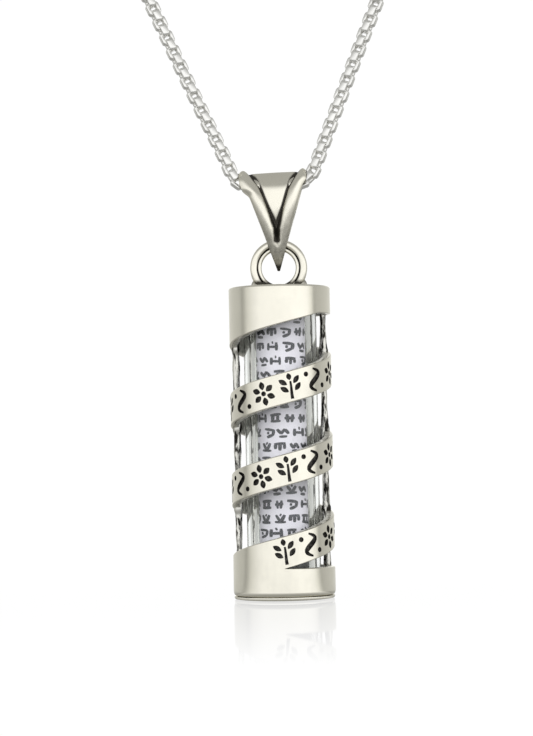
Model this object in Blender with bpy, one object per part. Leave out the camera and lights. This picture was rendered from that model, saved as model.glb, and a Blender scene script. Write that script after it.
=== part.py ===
"""Mezuzah pendant: an open-work silver case with a scroll in a glass tube, hung on a box chain.

Metres, +Z up.  The origin is the point, on the line of the case, level with the two places where
the neck (or a display hook) holds the ends of the chain.  Everything below is written in
millimetres above the underside of the case and is moved down to that frame when it is built.
"""
import math

import bmesh
import bpy
from mathutils import Matrix, Vector

MM = 0.001
GAP = 0.05                        # clearance left between neighbouring pieces

# Case: one casting with a top band, a helical ribbon, a bottom band and upright struts.
CASE_RADIUS = 5.0
CASE_WALL = 0.8
CASE_HEIGHT = 30.5
TOP_PLATE = 0.8
CASE_CHAMFER = 0.18
BOTTOM_BAND_TOP = 3.1
TOP_BAND_BOTTOM = 27.75
HELIX_PITCH = 7.85
RIBBON_HEIGHT = 3.1
RIBBON_FRONT_HEIGHT = 12.5        # middle of one turn of the ribbon, at the front
SLOT_TIP_HEIGHT = 0.12            # the slot ends in a narrow blunt tip
SLOT_TOOL_INSIDE = 3.7            # radii between which the slot's tool runs
SLOT_TOOL_OUTSIDE = 5.6
STRUT_AZIMUTHS = (-97.0, 107.0)   # degrees from the front, towards +X
STRUT_RADIUS = 0.36
STRUT_CENTRE_RADIUS = 4.42
STRUT_ROOT = 0.12                 # how far a strut runs into each band
ROUND_STEPS = 72                  # facets round the case
INNER_STEPS = 48                  # facets round the pieces inside it
LOOP_STEPS = 40
RING_STEPS = 24
CAP_STEPS = 20
HOLE_STEPS = 24                   # facets round the small eyes and their holes
PIN_STEPS = 16
BAIL_ARC_STEPS = 18

# Inside the case.
PLUG_FLANGE = 0.3
PLUG_TOP = 1.6
GLASS_RADIUS = 3.6
GLASS_BORE = 2.62
SCROLL_RADIUS = 2.5
SCROLL_CORE = 1.1
SEAL_FLOOR = 0.45
SEAL_HEIGHT = 1.2

# Loop on top of the case.
LOOP_CENTRE = 32.42
LOOP_OUTER = 2.82
LOOP_INNER = 1.67
LOOP_HALF_THICKNESS = 0.45
LOOP_CHAMFER = 0.15
LOOP_RIM_HALF = 0.25              # half the flat left on its inner and outer rims
LOOP_GROOVE_DEPTH = 0.18
LOOP_GROOVE_HALF_WIDTH = 0.16

# Bail that folds over the chain and meets itself under the loop's wire.
BAIL_TIP = 32.12
BAIL_TOP = 42.05
BAIL_METAL = 0.5
BAIL_TOP_OUTER = 1.6
BAIL_SEAT_RADIUS = 0.62
BAIL_SEAT_HEIGHT = 34.6
BAIL_TIP_HALF_DEPTH = 0.35
BAIL_FRONT_EDGE = (               # right edge of the front outline: x, height above the tip
    (0.2, -0.1), (0.3, 0.5), (2.6, 7.75), (2.95, 8.7), (3.2, 9.5), (3.1, 10.03),
)
BAIL_LEAN = 2.0                   # degrees: the bail tips towards the longer side of the chain
LOOP_CLEARANCE = 0.11

# Chain and its end fittings.
CHAIN_DIAMETER = 1.05
CHAIN_HEIGHT_IN_BAIL = 40.68
HOLD_HEIGHT = 62.0                # the chain's ends, above the underside of the case
CHAIN_ROUTE = (                   # x, z in millimetres above the underside of the case
    (-13.55, 62.00), (-12.13, 58.80), (-10.85, 55.95), (-9.56, 53.05), (-8.25, 50.15), (-6.97, 47.35),
    (-5.75, 44.75), (-4.98, 43.05), (-4.50, 41.90), (-4.14, 41.30), (-3.72, 40.92), (-3.20, 40.68),
    (-2.55, 40.61), (-0.33, 40.68), (1.72, 40.76), (2.33, 40.85), (2.86, 41.10), (3.28, 41.47),
    (3.62, 41.98), (3.86, 42.56), (4.75, 44.85), (5.92, 47.85), (7.10, 50.85), (8.29, 53.85),
    (9.50, 56.85), (10.55, 59.45), (11.58, 62.00),
)
CHAIN_POINTS = 64
CAP_RADIUS = 0.8
CAP_LENGTH = 1.7
EYE_RADIUS = 1.0
EYE_HOLE = 0.55
EYE_HALF_THICKNESS = 0.3
RING_WIRE = 0.25                  # radius of the jump rings' wire
RING_RADIUS = 1.3                 # middle of the wire
CATCH_RADIUS = 2.1                # larger ring that the clasp hooks into

# Lobster clasp, along the chain (u) and across it (v), from the middle of its eye.
CLASP_HALF_THICKNESS = 1.0
CLASP_OUTER = 2.1
CLASP_START = 2.6
CLASP_END = 6.4
CLASP_OPENING = 1.15
CLASP_OPENING_START = 4.4
CLASP_PIVOT = (2.3, 1.0)
CLASP_PIN_RADIUS = 0.3
LEVER_HALF_THICKNESS = 0.45
LEVER_OUTLINE = (
    (6.6, 1.35), (6.6, 1.95), (5.4, 2.02), (3.4, 2.05), (2.9, 2.3), (2.5, 3.0), (2.1, 3.15), (1.9, 2.9),
    (2.05, 2.0), (1.8, 1.5), (1.75, 1.0), (1.95, 0.6), (2.3, 0.45), (2.8, 0.6), (3.4, 1.2), (5.0, 1.3),
)
SPRING_OUTLINE = (                # bent leaf whose free end stays clear of the opened lever
    (1.35, 0.2), (3.2, 0.2), (3.3, 0.5), (3.18, 0.52), (3.1, 0.32), (1.47, 0.32), (1.47, 1.5), (1.35, 1.5),
)
SPRING_HALF_WIDTH = 0.3
GATE_GAP = ((4.7, 0.6), (6.75, 0.6), (6.75, 3.0), (4.7, 3.0))      # side opening of the hook
LEVER_POCKET = ((1.3, 0.15), (4.9, 0.15), (4.9, 3.0), (1.3, 3.0))  # slot the lever turns in


def principled(name, colour, roughness, metallic, transmission=0.0):
    """One plain material for a sub-part."""
    material = bpy.data.materials.new(name)
    material.use_nodes = True
    shader = material.node_tree.nodes["Principled BSDF"]
    shader.inputs["Base Color"].default_value = (*colour, 1.0)
    shader.inputs["Roughness"].default_value = roughness
    shader.inputs["Metallic"].default_value = metallic
    shader.inputs["Transmission Weight"].default_value = transmission
    return material


def to_world(x, y, z):
    """Millimetres above the underside of the case, to the part's frame in metres."""
    return Vector((x, y, z - HOLD_HEIGHT)) * MM


def add_object(name, mesh_builder, material, pivot=(0.0, 0.0, 0.0), smooth_angle=35.0):
    """Make the object of a finished bmesh in the part's frame, with its origin at the pivot."""
    mesh = bpy.data.meshes.new(name)
    bmesh.ops.recalc_face_normals(mesh_builder, faces=mesh_builder.faces)
    bmesh.ops.translate(mesh_builder, verts=mesh_builder.verts, vec=-Vector(pivot))
    mesh_builder.to_mesh(mesh)
    mesh_builder.free()
    mesh.materials.append(material)
    mesh.shade_smooth()
    mesh.set_sharp_from_angle(angle=math.radians(smooth_angle))
    item = bpy.data.objects.new(name, mesh)
    item.location = pivot
    bpy.context.scene.collection.objects.link(item)
    return item


def as_cutter(item):
    """Keep a Boolean's tool out of the model."""
    item.hide_render = True
    item.display_type = "WIRE"
    return item


def boolean(item, tool, operation):
    """Add an exact Boolean with a tool object."""
    modifier = item.modifiers.new(f"{operation.lower()}_{tool.name}", "BOOLEAN")
    modifier.operation = operation
    modifier.solver = "EXACT"
    modifier.object = as_cutter(tool)


def turned(profile, steps, axis_map):
    """Turn a closed (radius, height) profile; points with radius 0 become poles on the axis."""
    shape = bmesh.new()
    rings = []
    for radius, height in profile:
        if radius == 0.0:
            rings.append([shape.verts.new(axis_map(0.0, 0.0, height))])
            continue
        ring = []
        for step in range(steps):
            angle = 2.0 * math.pi * step / steps
            ring.append(shape.verts.new(axis_map(radius * math.cos(angle), radius * math.sin(angle), height)))
        rings.append(ring)
    for index, ring in enumerate(rings):
        following = rings[(index + 1) % len(rings)]
        if len(ring) == 1 and len(following) == 1:
            continue
        for step in range(steps):
            after = (step + 1) % steps
            corners = [ring[step % len(ring)], ring[after % len(ring)],
                       following[after % len(following)], following[step % len(following)]]
            shape.faces.new(list(dict.fromkeys(corners)))
    return shape


def upright(x, y, height):
    """Axis map for pieces turned about the line of the case."""
    return to_world(x, y, height)


def facing_front(x, z, depth):
    """Axis map for pieces turned about a front-to-back line through the loop's centre."""
    return to_world(x, depth, LOOP_CENTRE + z)


def prism(outline, low, high, axis_map):
    """Extrude a closed outline of (a, b) points from low to high."""
    shape = bmesh.new()
    near = [shape.verts.new(axis_map(a, b, low)) for a, b in outline]
    far = [shape.verts.new(axis_map(a, b, high)) for a, b in outline]
    shape.faces.new(near)
    shape.faces.new(list(reversed(far)))
    for index, corner in enumerate(near):
        after = (index + 1) % len(near)
        shape.faces.new([corner, near[after], far[after], far[index]])
    return shape


def arc(centre, radius, start, end, steps):
    """Points along an arc, in degrees."""
    points = []
    for step in range(steps + 1):
        angle = math.radians(start + (end - start) * step / steps)
        points.append((centre[0] + radius * math.cos(angle), centre[1] + radius * math.sin(angle)))
    return points


def join_shapes(target, other):
    """Append one bmesh to another and free it."""
    scratch = bpy.data.meshes.new("scratch")
    other.to_mesh(scratch)
    other.free()
    target.from_mesh(scratch)
    bpy.data.meshes.remove(scratch)


# ---------------------------------------------------------------- case

def ribbon_middle(azimuth):
    """Height of the ribbon's middle at an azimuth in degrees, right-handed from the front."""
    return RIBBON_FRONT_HEIGHT + HELIX_PITCH * azimuth / 360.0


def slot_cutter(pivot):
    """The helical slot, cut to the two bands, as a solid that passes through the wall."""
    half_slot = (HELIX_PITCH - RIBBON_HEIGHT) / 2.0
    middle_at_front = RIBBON_FRONT_HEIGHT - HELIX_PITCH / 2.0
    rise = HELIX_PITCH / 360.0
    first = (BOTTOM_BAND_TOP + SLOT_TIP_HEIGHT - half_slot - middle_at_front) / rise
    last = (TOP_BAND_BOTTOM - SLOT_TIP_HEIGHT + half_slot - middle_at_front) / rise
    leaves_bottom = (BOTTOM_BAND_TOP + half_slot - middle_at_front) / rise
    meets_top = (TOP_BAND_BOTTOM - half_slot - middle_at_front) / rise
    step = 360.0 / ROUND_STEPS
    offset = step / 3.0           # keeps the cutter's corners off the case's own edges
    azimuths = {first, last, leaves_bottom, meets_top}
    count = int((last - first) / step)
    azimuths.update(first + offset + step * index for index in range(count))
    shape = bmesh.new()
    rings = []
    for azimuth in sorted(azimuths):
        middle = middle_at_front + rise * azimuth
        low = max(middle - half_slot, BOTTOM_BAND_TOP)
        high = min(middle + half_slot, TOP_BAND_BOTTOM)
        angle = math.radians(azimuth)
        ring = []
        for radius, height in ((SLOT_TOOL_INSIDE, low), (SLOT_TOOL_OUTSIDE, low),
                               (SLOT_TOOL_OUTSIDE, high), (SLOT_TOOL_INSIDE, high)):
            ring.append(shape.verts.new(to_world(radius * math.sin(angle), -radius * math.cos(angle), height)))
        rings.append(ring)
    for ring, following in zip(rings, rings[1:]):
        for corner in range(4):
            after = (corner + 1) % 4
            shape.faces.new([ring[corner], ring[after], following[after], following[corner]])
    shape.faces.new(rings[0])
    shape.faces.new(rings[-1])
    return add_object("slot_cutter", shape, bpy.data.materials["silver"], pivot)


def strut_tools(pivot):
    """Upright cast posts that join the turns of the ribbon, as one solid per post."""
    tools = []
    for index, azimuth in enumerate(STRUT_AZIMUTHS):
        angle = math.radians(azimuth)
        centre = (STRUT_CENTRE_RADIUS * math.sin(angle), -STRUT_CENTRE_RADIUS * math.cos(angle))
        outline = arc(centre, STRUT_RADIUS, 10.0, 325.0, 7)
        shape = prism(outline, BOTTOM_BAND_TOP - STRUT_ROOT, TOP_BAND_BOTTOM + STRUT_ROOT, upright)
        tools.append(add_object(f"strut_tool_{index + 1}", shape, bpy.data.materials["silver"], pivot))
    return tools


def make_cage(material, pivot):
    """The cast case: two bands, the ribbon between them and the struts, open underneath."""
    inner = CASE_RADIUS - CASE_WALL
    bottom = PLUG_FLANGE + GAP
    profile = [
        (0.0, CASE_HEIGHT), (CASE_RADIUS - CASE_CHAMFER, CASE_HEIGHT), (CASE_RADIUS, CASE_HEIGHT - CASE_CHAMFER),
        (CASE_RADIUS, bottom + 0.3), (CASE_RADIUS - 0.1, bottom + 0.1), (CASE_RADIUS - 0.3, bottom),
        (inner, bottom), (inner, CASE_HEIGHT - TOP_PLATE), (0.0, CASE_HEIGHT - TOP_PLATE),
    ]
    cage = add_object("spiral_case", turned(profile, ROUND_STEPS, upright), material, pivot)
    boolean(cage, slot_cutter(pivot), "DIFFERENCE")
    for tool in strut_tools(pivot):
        boolean(cage, tool, "UNION")


def make_bottom_plug(material, pivot):
    """Disc that closes the underside, with a spigot inside the bottom band."""
    spigot = CASE_RADIUS - CASE_WALL - GAP
    profile = [
        (0.0, 0.0), (CASE_RADIUS - 0.65, 0.0), (CASE_RADIUS - 0.4, 0.1), (CASE_RADIUS - 0.3, PLUG_FLANGE),
        (spigot, PLUG_FLANGE), (spigot, PLUG_TOP), (0.0, PLUG_TOP),
    ]
    add_object("bottom_plug", turned(profile, INNER_STEPS, upright), material, pivot)


def make_seal(name, floor, direction, material, pivot):
    """Soft cup that centres one end of the glass; direction is +1 when its mouth is up."""
    outer = CASE_RADIUS - CASE_WALL - GAP
    bore = GLASS_RADIUS + GAP
    profile = [
        (0.0, floor), (outer, floor), (outer, floor + direction * SEAL_HEIGHT),
        (bore, floor + direction * SEAL_HEIGHT), (bore, floor + direction * SEAL_FLOOR),
        (0.0, floor + direction * SEAL_FLOOR),
    ]
    add_object(name, turned(profile, INNER_STEPS, upright), material, pivot)


def make_contents(materials, pivot):
    """Seals, glass tube and rolled scroll, from the plug up."""
    low_floor = PLUG_TOP + GAP
    high_floor = CASE_HEIGHT - TOP_PLATE - GAP
    make_seal("lower_seal", low_floor, 1.0, materials["seal"], pivot)
    make_seal("upper_seal", high_floor, -1.0, materials["seal"], pivot)
    low = low_floor + SEAL_FLOOR + GAP
    high = high_floor - SEAL_FLOOR - GAP
    glass = [(GLASS_BORE, low), (GLASS_RADIUS, low), (GLASS_RADIUS, high), (GLASS_BORE, high)]
    add_object("glass_tube", turned(glass, INNER_STEPS, upright), materials["glass"], pivot)
    roll = [
        (SCROLL_CORE, low + GAP), (SCROLL_RADIUS, low + GAP),
        (SCROLL_RADIUS, high - GAP), (SCROLL_CORE, high - GAP),
    ]
    add_object("scroll", turned(roll, INNER_STEPS, upright), materials["paper"], pivot)


# ---------------------------------------------------------------- loop and bail

def make_loop(material, pivot):
    """Ring of grooved wire soldered on the top plate, cut flat where it meets the plate."""
    half = LOOP_HALF_THICKNESS
    middle = (LOOP_INNER + LOOP_OUTER) / 2.0
    back = [
        (LOOP_INNER, -LOOP_RIM_HALF), (LOOP_INNER + LOOP_CHAMFER, -half),
        (middle - LOOP_GROOVE_HALF_WIDTH, -half), (middle, LOOP_GROOVE_DEPTH - half),
        (middle + LOOP_GROOVE_HALF_WIDTH, -half), (LOOP_OUTER - LOOP_CHAMFER, -half),
        (LOOP_OUTER, -LOOP_RIM_HALF),
    ]
    profile = back + [(radius, -depth) for radius, depth in reversed(back)]
    loop = add_object("hanger_loop", turned(profile, LOOP_STEPS, facing_front), material, pivot)
    plate = CASE_HEIGHT + GAP - LOOP_CENTRE
    below = [(-4.0, -5.0), (4.0, -5.0), (4.0, plate), (-4.0, plate)]
    foot = add_object("loop_foot_cutter", prism(below, -2.0, 2.0, facing_front), material, pivot)
    boolean(loop, foot, "DIFFERENCE")


def bail_side(depth, height, across):
    """Axis map for the bail's side profile: depth is front to back."""
    return to_world(across, depth, height)


def bail_front(across, height, depth):
    """Axis map for the bail's front outline."""
    return to_world(across, depth, height)


def make_bail(material, pivot):
    """Side profile with a teardrop opening, trimmed to the front outline and to the loop's wire."""
    top_centre = BAIL_TOP - BAIL_TOP_OUTER
    seat_outer = BAIL_SEAT_RADIUS + BAIL_METAL
    side = arc((0.0, top_centre), BAIL_TOP_OUTER, 0.0, 180.0, BAIL_ARC_STEPS)
    side += [(-seat_outer, BAIL_SEAT_HEIGHT), (-BAIL_TIP_HALF_DEPTH, BAIL_TIP + 0.25), (-0.1, BAIL_TIP)]
    side += [(0.1, BAIL_TIP), (BAIL_TIP_HALF_DEPTH, BAIL_TIP + 0.25), (seat_outer, BAIL_SEAT_HEIGHT)]
    bail = add_object("bail", prism(side, -4.0, 4.0, bail_side), material, pivot)
    opening = arc((0.0, top_centre), BAIL_TOP_OUTER - BAIL_METAL, 0.0, 180.0, BAIL_ARC_STEPS)
    opening += arc((0.0, BAIL_SEAT_HEIGHT), BAIL_SEAT_RADIUS, 180.0, 360.0, BAIL_ARC_STEPS - 6)
    hole = add_object("bail_opening_cutter", prism(opening, -5.0, 5.0, bail_side), material, pivot)
    boolean(bail, hole, "DIFFERENCE")
    right_edge = [(across, BAIL_TIP + height) for across, height in BAIL_FRONT_EDGE]
    outline = right_edge + [(-across, height) for across, height in reversed(right_edge)]
    front = add_object("bail_outline_tool", prism(outline, -3.0, 3.0, bail_front), material, pivot)
    boolean(bail, front, "INTERSECT")
    half = LOOP_HALF_THICKNESS + LOOP_CLEARANCE
    groove = [
        (LOOP_INNER - LOOP_CLEARANCE, -half), (LOOP_OUTER + LOOP_CLEARANCE, -half),
        (LOOP_OUTER + LOOP_CLEARANCE, half), (LOOP_INNER - LOOP_CLEARANCE, half),
    ]
    seat = add_object("loop_room_cutter", turned(groove, LOOP_STEPS, facing_front), material, pivot)
    lean_about_loop([bail, hole, front], pivot)
    boolean(bail, seat, "DIFFERENCE")


def lean_about_loop(items, pivot):
    """Tip pieces sideways about the loop's centre and apply it to their meshes."""
    centre = to_world(0.0, 0.0, LOOP_CENTRE) - Vector(pivot)
    turn = Matrix.Translation(centre) @ Matrix.Rotation(math.radians(-BAIL_LEAN), 4, "Y")
    turn = turn @ Matrix.Translation(-centre)
    for item in items:
        item.data.transform(turn)


# ---------------------------------------------------------------- chain and end fittings

def smooth_route(points, count):
    """Evenly spaced points on a Catmull-Rom curve through the route's own points."""
    padded = [points[0] * 2 - points[1], *points, points[-1] * 2 - points[-2]]
    dense = []
    for index in range(len(points) - 1):
        before, start, end, after = padded[index:index + 4]
        for step in range(24):
            t = step / 24.0
            dense.append(0.5 * (2 * start + (end - before) * t
                                + (2 * before - 5 * start + 4 * end - after) * t ** 2
                                + (3 * start - before - 3 * end + after) * t ** 3))
    dense.append(points[-1])
    lengths = [0.0]
    for start, end in zip(dense, dense[1:]):
        lengths.append(lengths[-1] + (end - start).length)
    result = []
    place = 0
    for index in range(count):
        target = lengths[-1] * index / (count - 1)
        while place < len(dense) - 2 and lengths[place + 1] < target:
            place += 1
        share = (target - lengths[place]) / (lengths[place + 1] - lengths[place])
        result.append(dense[place].lerp(dense[place + 1], share))
    return result


def make_chain(material):
    """Plain tube along the chain's route; its ends stop short of the end caps."""
    route = smooth_route([to_world(x, 0.0, z) for x, z in CHAIN_ROUTE], CHAIN_POINTS)
    curve = bpy.data.curves.new("box_chain", "CURVE")
    curve.dimensions = "3D"
    curve.bevel_depth = CHAIN_DIAMETER / 2.0 * MM
    curve.bevel_resolution = 2
    curve.use_fill_caps = True
    spline = curve.splines.new("POLY")
    spline.points.add(len(route) - 1)
    for point, place in zip(spline.points, route):
        point.co = (*place, 1.0)
    curve.materials.append(material)
    item = bpy.data.objects.new("box_chain", curve)
    bpy.context.scene.collection.objects.link(item)
    return item


def end_frame(end, before):
    """Axis map along (u) and across (v) the chain at one of its ends; w is front to back."""
    origin = to_world(end[0], 0.0, end[1])
    along = (origin - to_world(before[0], 0.0, before[1])).normalized()
    across = Vector((along.z, 0.0, -along.x))

    def place(u, v, w):
        return origin + (along * u + across * v + Vector((0.0, w, 0.0))) * MM

    return place


def make_end_cap(name, frame, material):
    """Closed cup over the last link, with a flat eye on its end; returns the eye's distance."""
    start = GAP
    profile = [(0.0, start), (CAP_RADIUS, start), (CAP_RADIUS, start + CAP_LENGTH),
               (CAP_RADIUS - 0.25, start + CAP_LENGTH + 0.15), (0.0, start + CAP_LENGTH + 0.15)]
    shape = turned(profile, CAP_STEPS, lambda x, y, height: frame(height, x, y))
    cap = add_object(name, shape, material)
    eye_at = start + CAP_LENGTH + EYE_RADIUS
    rim = arc((eye_at, 0.0), EYE_RADIUS, 0.0, 345.0, HOLE_STEPS - 1)
    eye = add_object(f"{name}_eye_tool", prism(rim, -EYE_HALF_THICKNESS, EYE_HALF_THICKNESS, frame), material)
    hole_outline = arc((eye_at, 0.0), EYE_HOLE, 0.0, 345.0, HOLE_STEPS - 1)
    hole = add_object(f"{name}_hole_cutter", prism(hole_outline, -1.0, 1.0, frame), material)
    boolean(cap, eye, "UNION")
    boolean(cap, hole, "DIFFERENCE")
    return eye_at


def make_jump_ring(name, frame, centre, radius, material):
    """Round wire ring that stands across the flat eyes it links."""
    wire = [(radius + a, b) for a, b in arc((0.0, 0.0), RING_WIRE, 0.0, 315.0, 7)]

    def place(x, y, height):
        return frame(centre + x, height, y)

    return add_object(name, turned(wire, RING_STEPS, place), material)


def make_clasp_body(frame, start, material):
    """Hook-shaped clasp body with an eye, an opening closed by the lever and a pocket for it."""
    def place(u, v, w):
        return frame(start + u, v, w)

    half = CLASP_HALF_THICKNESS
    outline = arc((CLASP_START, 0.0), CLASP_OUTER, 110.0, 250.0, 10)
    outline += arc((CLASP_END, 0.0), CLASP_OUTER, 270.0, 450.0, 16)
    body = add_object("clasp_body", prism(outline, -half, half, place), material)
    rim = arc((0.0, 0.0), EYE_RADIUS, 0.0, 345.0, HOLE_STEPS - 1)
    eye = add_object("clasp_eye_tool", prism(rim, -EYE_HALF_THICKNESS, EYE_HALF_THICKNESS, place), material)
    boolean(body, eye, "UNION")
    opening = arc((CLASP_OPENING_START, 0.0), CLASP_OPENING, 90.0, 270.0, 12)
    opening += arc((CLASP_END, 0.0), CLASP_OPENING, 270.0, 450.0, 12)
    hole = arc((0.0, 0.0), EYE_HOLE, 0.0, 345.0, HOLE_STEPS - 1)
    pin_hole = arc(CLASP_PIVOT, CLASP_PIN_RADIUS + GAP, 0.0, 337.5, PIN_STEPS - 1)
    pocket_half = LEVER_HALF_THICKNESS + GAP
    cuts = (
        ("clasp_opening_cutter", opening, 2.0), ("clasp_hole_cutter", hole, 2.0),
        ("clasp_gate_cutter", GATE_GAP, 2.0), ("clasp_pocket_cutter", LEVER_POCKET, pocket_half),
        ("clasp_pin_cutter", pin_hole, 2.0),
    )
    for name, points, depth in cuts:
        boolean(body, add_object(name, prism(points, -depth, depth, place), material), "DIFFERENCE")
    return place


def make_clasp_lever(place, material):
    """Sprung gate of the clasp, turning on the pin; its origin is on the pin's axis."""
    pivot = place(CLASP_PIVOT[0], CLASP_PIVOT[1], 0.0)
    half = LEVER_HALF_THICKNESS
    lever = add_object("clasp_lever", prism(LEVER_OUTLINE, -half, half, place), material, pivot)
    bore = arc(CLASP_PIVOT, CLASP_PIN_RADIUS + GAP, 0.0, 337.5, PIN_STEPS - 1)
    boolean(lever, add_object("lever_bore_cutter", prism(bore, -1.0, 1.0, place), material, pivot), "DIFFERENCE")


def make_clasp_small_parts(place, materials):
    """Pivot pin, and the bent leaf spring that pushes the lever's heel."""
    round_pin = arc(CLASP_PIVOT, CLASP_PIN_RADIUS, 0.0, 337.5, PIN_STEPS - 1)
    half = CLASP_HALF_THICKNESS
    add_object("clasp_pin", prism(round_pin, -half, half, place), materials["silver"])
    leaf = prism(SPRING_OUTLINE, -SPRING_HALF_WIDTH, SPRING_HALF_WIDTH, place)
    add_object("clasp_spring", leaf, materials["steel"])


def main():
    for item in list(bpy.data.objects):
        bpy.data.objects.remove(item)
    materials = {
        "silver": principled("silver", (0.80, 0.79, 0.74), 0.28, 1.0),
        "chain_silver": principled("chain_silver", (0.86, 0.86, 0.84), 0.25, 1.0),
        "steel": principled("spring_steel", (0.55, 0.55, 0.56), 0.35, 1.0),
        "glass": principled("glass", (0.92, 0.95, 0.93), 0.03, 0.0, 1.0),
        "paper": principled("paper", (0.82, 0.83, 0.90), 0.80, 0.0),
        "seal": principled("seal", (0.80, 0.80, 0.77), 0.55, 0.0),
    }
    case_pivot = to_world(0.0, 0.0, LOOP_CENTRE)
    chain_pivot = to_world(-0.33, 0.0, CHAIN_HEIGHT_IN_BAIL)

    make_cage(materials["silver"], case_pivot)
    make_bottom_plug(materials["silver"], case_pivot)
    make_contents(materials, case_pivot)
    make_loop(materials["silver"], case_pivot)
    make_bail(materials["silver"], chain_pivot)

    make_chain(materials["chain_silver"])
    clasp_side = end_frame(CHAIN_ROUTE[0], CHAIN_ROUTE[1])
    ring_side = end_frame(CHAIN_ROUTE[-1], CHAIN_ROUTE[-2])
    eye_at = make_end_cap("clasp_end_cap", clasp_side, materials["silver"])
    make_end_cap("ring_end_cap", ring_side, materials["silver"])
    make_jump_ring("clasp_jump_ring", clasp_side, eye_at + RING_RADIUS, RING_RADIUS, materials["silver"])
    make_jump_ring("catch_ring", ring_side, eye_at + CATCH_RADIUS, CATCH_RADIUS, materials["silver"])
    place = make_clasp_body(clasp_side, eye_at + 2.0 * RING_RADIUS, materials["silver"])
    make_clasp_lever(place, materials["silver"])
    make_clasp_small_parts(place, materials)


main()
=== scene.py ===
"""Looks of the mezuzah pendant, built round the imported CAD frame.

Lengths are millimetres above the underside of the case until place() turns them into the frame's
metres.  The camera and the chain come first, then the case, its contents, the loop, the bail, the
end fittings, the floor and the light.
"""
import math
import random

import bmesh
import bpy
from mathutils import Matrix, Vector


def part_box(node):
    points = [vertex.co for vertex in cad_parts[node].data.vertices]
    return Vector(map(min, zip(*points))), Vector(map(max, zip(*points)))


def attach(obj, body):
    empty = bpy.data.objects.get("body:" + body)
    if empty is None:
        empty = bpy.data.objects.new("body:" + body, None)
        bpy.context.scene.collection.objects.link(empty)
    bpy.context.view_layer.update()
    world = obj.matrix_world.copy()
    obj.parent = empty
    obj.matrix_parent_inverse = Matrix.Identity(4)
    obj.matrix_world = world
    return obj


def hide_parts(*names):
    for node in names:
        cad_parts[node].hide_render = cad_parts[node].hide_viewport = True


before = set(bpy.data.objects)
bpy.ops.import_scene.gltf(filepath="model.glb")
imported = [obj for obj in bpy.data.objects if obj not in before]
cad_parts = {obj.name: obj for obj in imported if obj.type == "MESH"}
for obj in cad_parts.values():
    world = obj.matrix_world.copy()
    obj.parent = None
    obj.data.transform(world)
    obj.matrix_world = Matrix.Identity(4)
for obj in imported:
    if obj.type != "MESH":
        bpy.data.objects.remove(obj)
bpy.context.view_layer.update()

MM = 0.001
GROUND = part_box("bottom_plug")[0][2] / MM         # underside of the case in the frame, in millimetres
SEED = 20

# Case, as in the CAD model.
CASE_RADIUS = (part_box("spiral_case")[1][0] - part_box("spiral_case")[0][0]) / 2.0 / MM
CASE_WALL = 0.8
CASE_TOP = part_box("spiral_case")[1][2] / MM - GROUND
CASE_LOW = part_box("spiral_case")[0][2] / MM - GROUND
TOP_PLATE = 0.8
BOTTOM_BAND_TOP = 3.1
TOP_BAND_BOTTOM = 27.75
HELIX_PITCH = 7.85
RIBBON_HEIGHT = 3.1
RIBBON_FRONT_HEIGHT = 12.5
SLOT_TIP_HEIGHT = 0.03
EDGE_ROUND = 0.12
INNER_EDGE_ROUND = 0.08
CASE_STEPS = 240
STRUT_AZIMUTHS = (-97.0, 107.0)
STRUT_CENTRE_RADIUS = 4.42
STRUT_RADIUS = 0.36

# Engraved ornament on the ribbon.
ORNAMENT_FIRST = 2.0
ORNAMENT_STEP = 30.4
ORNAMENT_COUNT = 27
ORNAMENT_SCALE = 1.14
ENGRAVING_DEPTH = 0.24

# Contents.
GLASS_RADIUS = 3.6
GLASS_BORE = 2.62
GLASS_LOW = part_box("glass_tube")[0][2] / MM - GROUND
GLASS_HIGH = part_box("glass_tube")[1][2] / MM - GROUND
SCROLL_RADIUS = 2.5
SCROLL_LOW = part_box("scroll")[0][2] / MM - GROUND
SCROLL_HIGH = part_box("scroll")[1][2] / MM - GROUND
SHEET_THICKNESS = 0.09
SHEET_PITCH = 0.16
SHEET_TURNS = 5.5
SHEET_EDGE_AZIMUTH = 205.0
INK_ROW_STEP = 1.39
INK_HEIGHT = 0.98

# Loop and bail.
LOOP_CENTRE = 32.42
LOOP_OUTER = 2.82
LOOP_INNER = 1.67
LOOP_HALF_THICKNESS = 0.45
BAIL_TIP = 32.12
BAIL_TOP = 42.05
BAIL_METAL = 0.5
BAIL_TOP_OUTER = 1.6
BAIL_SEAT_RADIUS = 0.62
BAIL_SEAT_HEIGHT = 34.6
BAIL_SHOULDER = 38.6
BAIL_LEAN = 2.0

# Chain.
CHAIN_ROUTE = (
    (-13.55, 62.00), (-12.13, 58.80), (-10.85, 55.95), (-9.56, 53.05), (-8.25, 50.15), (-6.97, 47.35),
    (-5.75, 44.75), (-4.98, 43.05), (-4.50, 41.90), (-4.14, 41.30), (-3.72, 40.92), (-3.20, 40.68),
    (-2.55, 40.61), (-0.33, 40.68), (1.72, 40.76), (2.33, 40.85), (2.86, 41.10), (3.28, 41.47),
    (3.62, 41.98), (3.86, 42.56), (4.75, 44.85), (5.92, 47.85), (7.10, 50.85), (8.29, 53.85),
    (9.50, 56.85), (10.55, 59.45), (11.58, 62.00),
)
LINK_PITCH = 0.80
LINK_LENGTH = 1.28
LINK_WIDTH = 1.30
LINK_END_THICKNESS = 0.22
LINK_SIDE_THICKNESS = 0.34
LINK_STRIP = 0.70
CHAIN_TWIST = -17.0


# ---------------- helpers

def place(x, y, z):
    """Millimetres above the underside of the case, to the frame in metres."""
    return Vector((x, y, z + GROUND)) * MM


def add_object(name, data):
    """Object of a mesh, camera or light, in the scene."""
    item = bpy.data.objects.new(name, data)
    bpy.context.scene.collection.objects.link(item)
    return item


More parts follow.
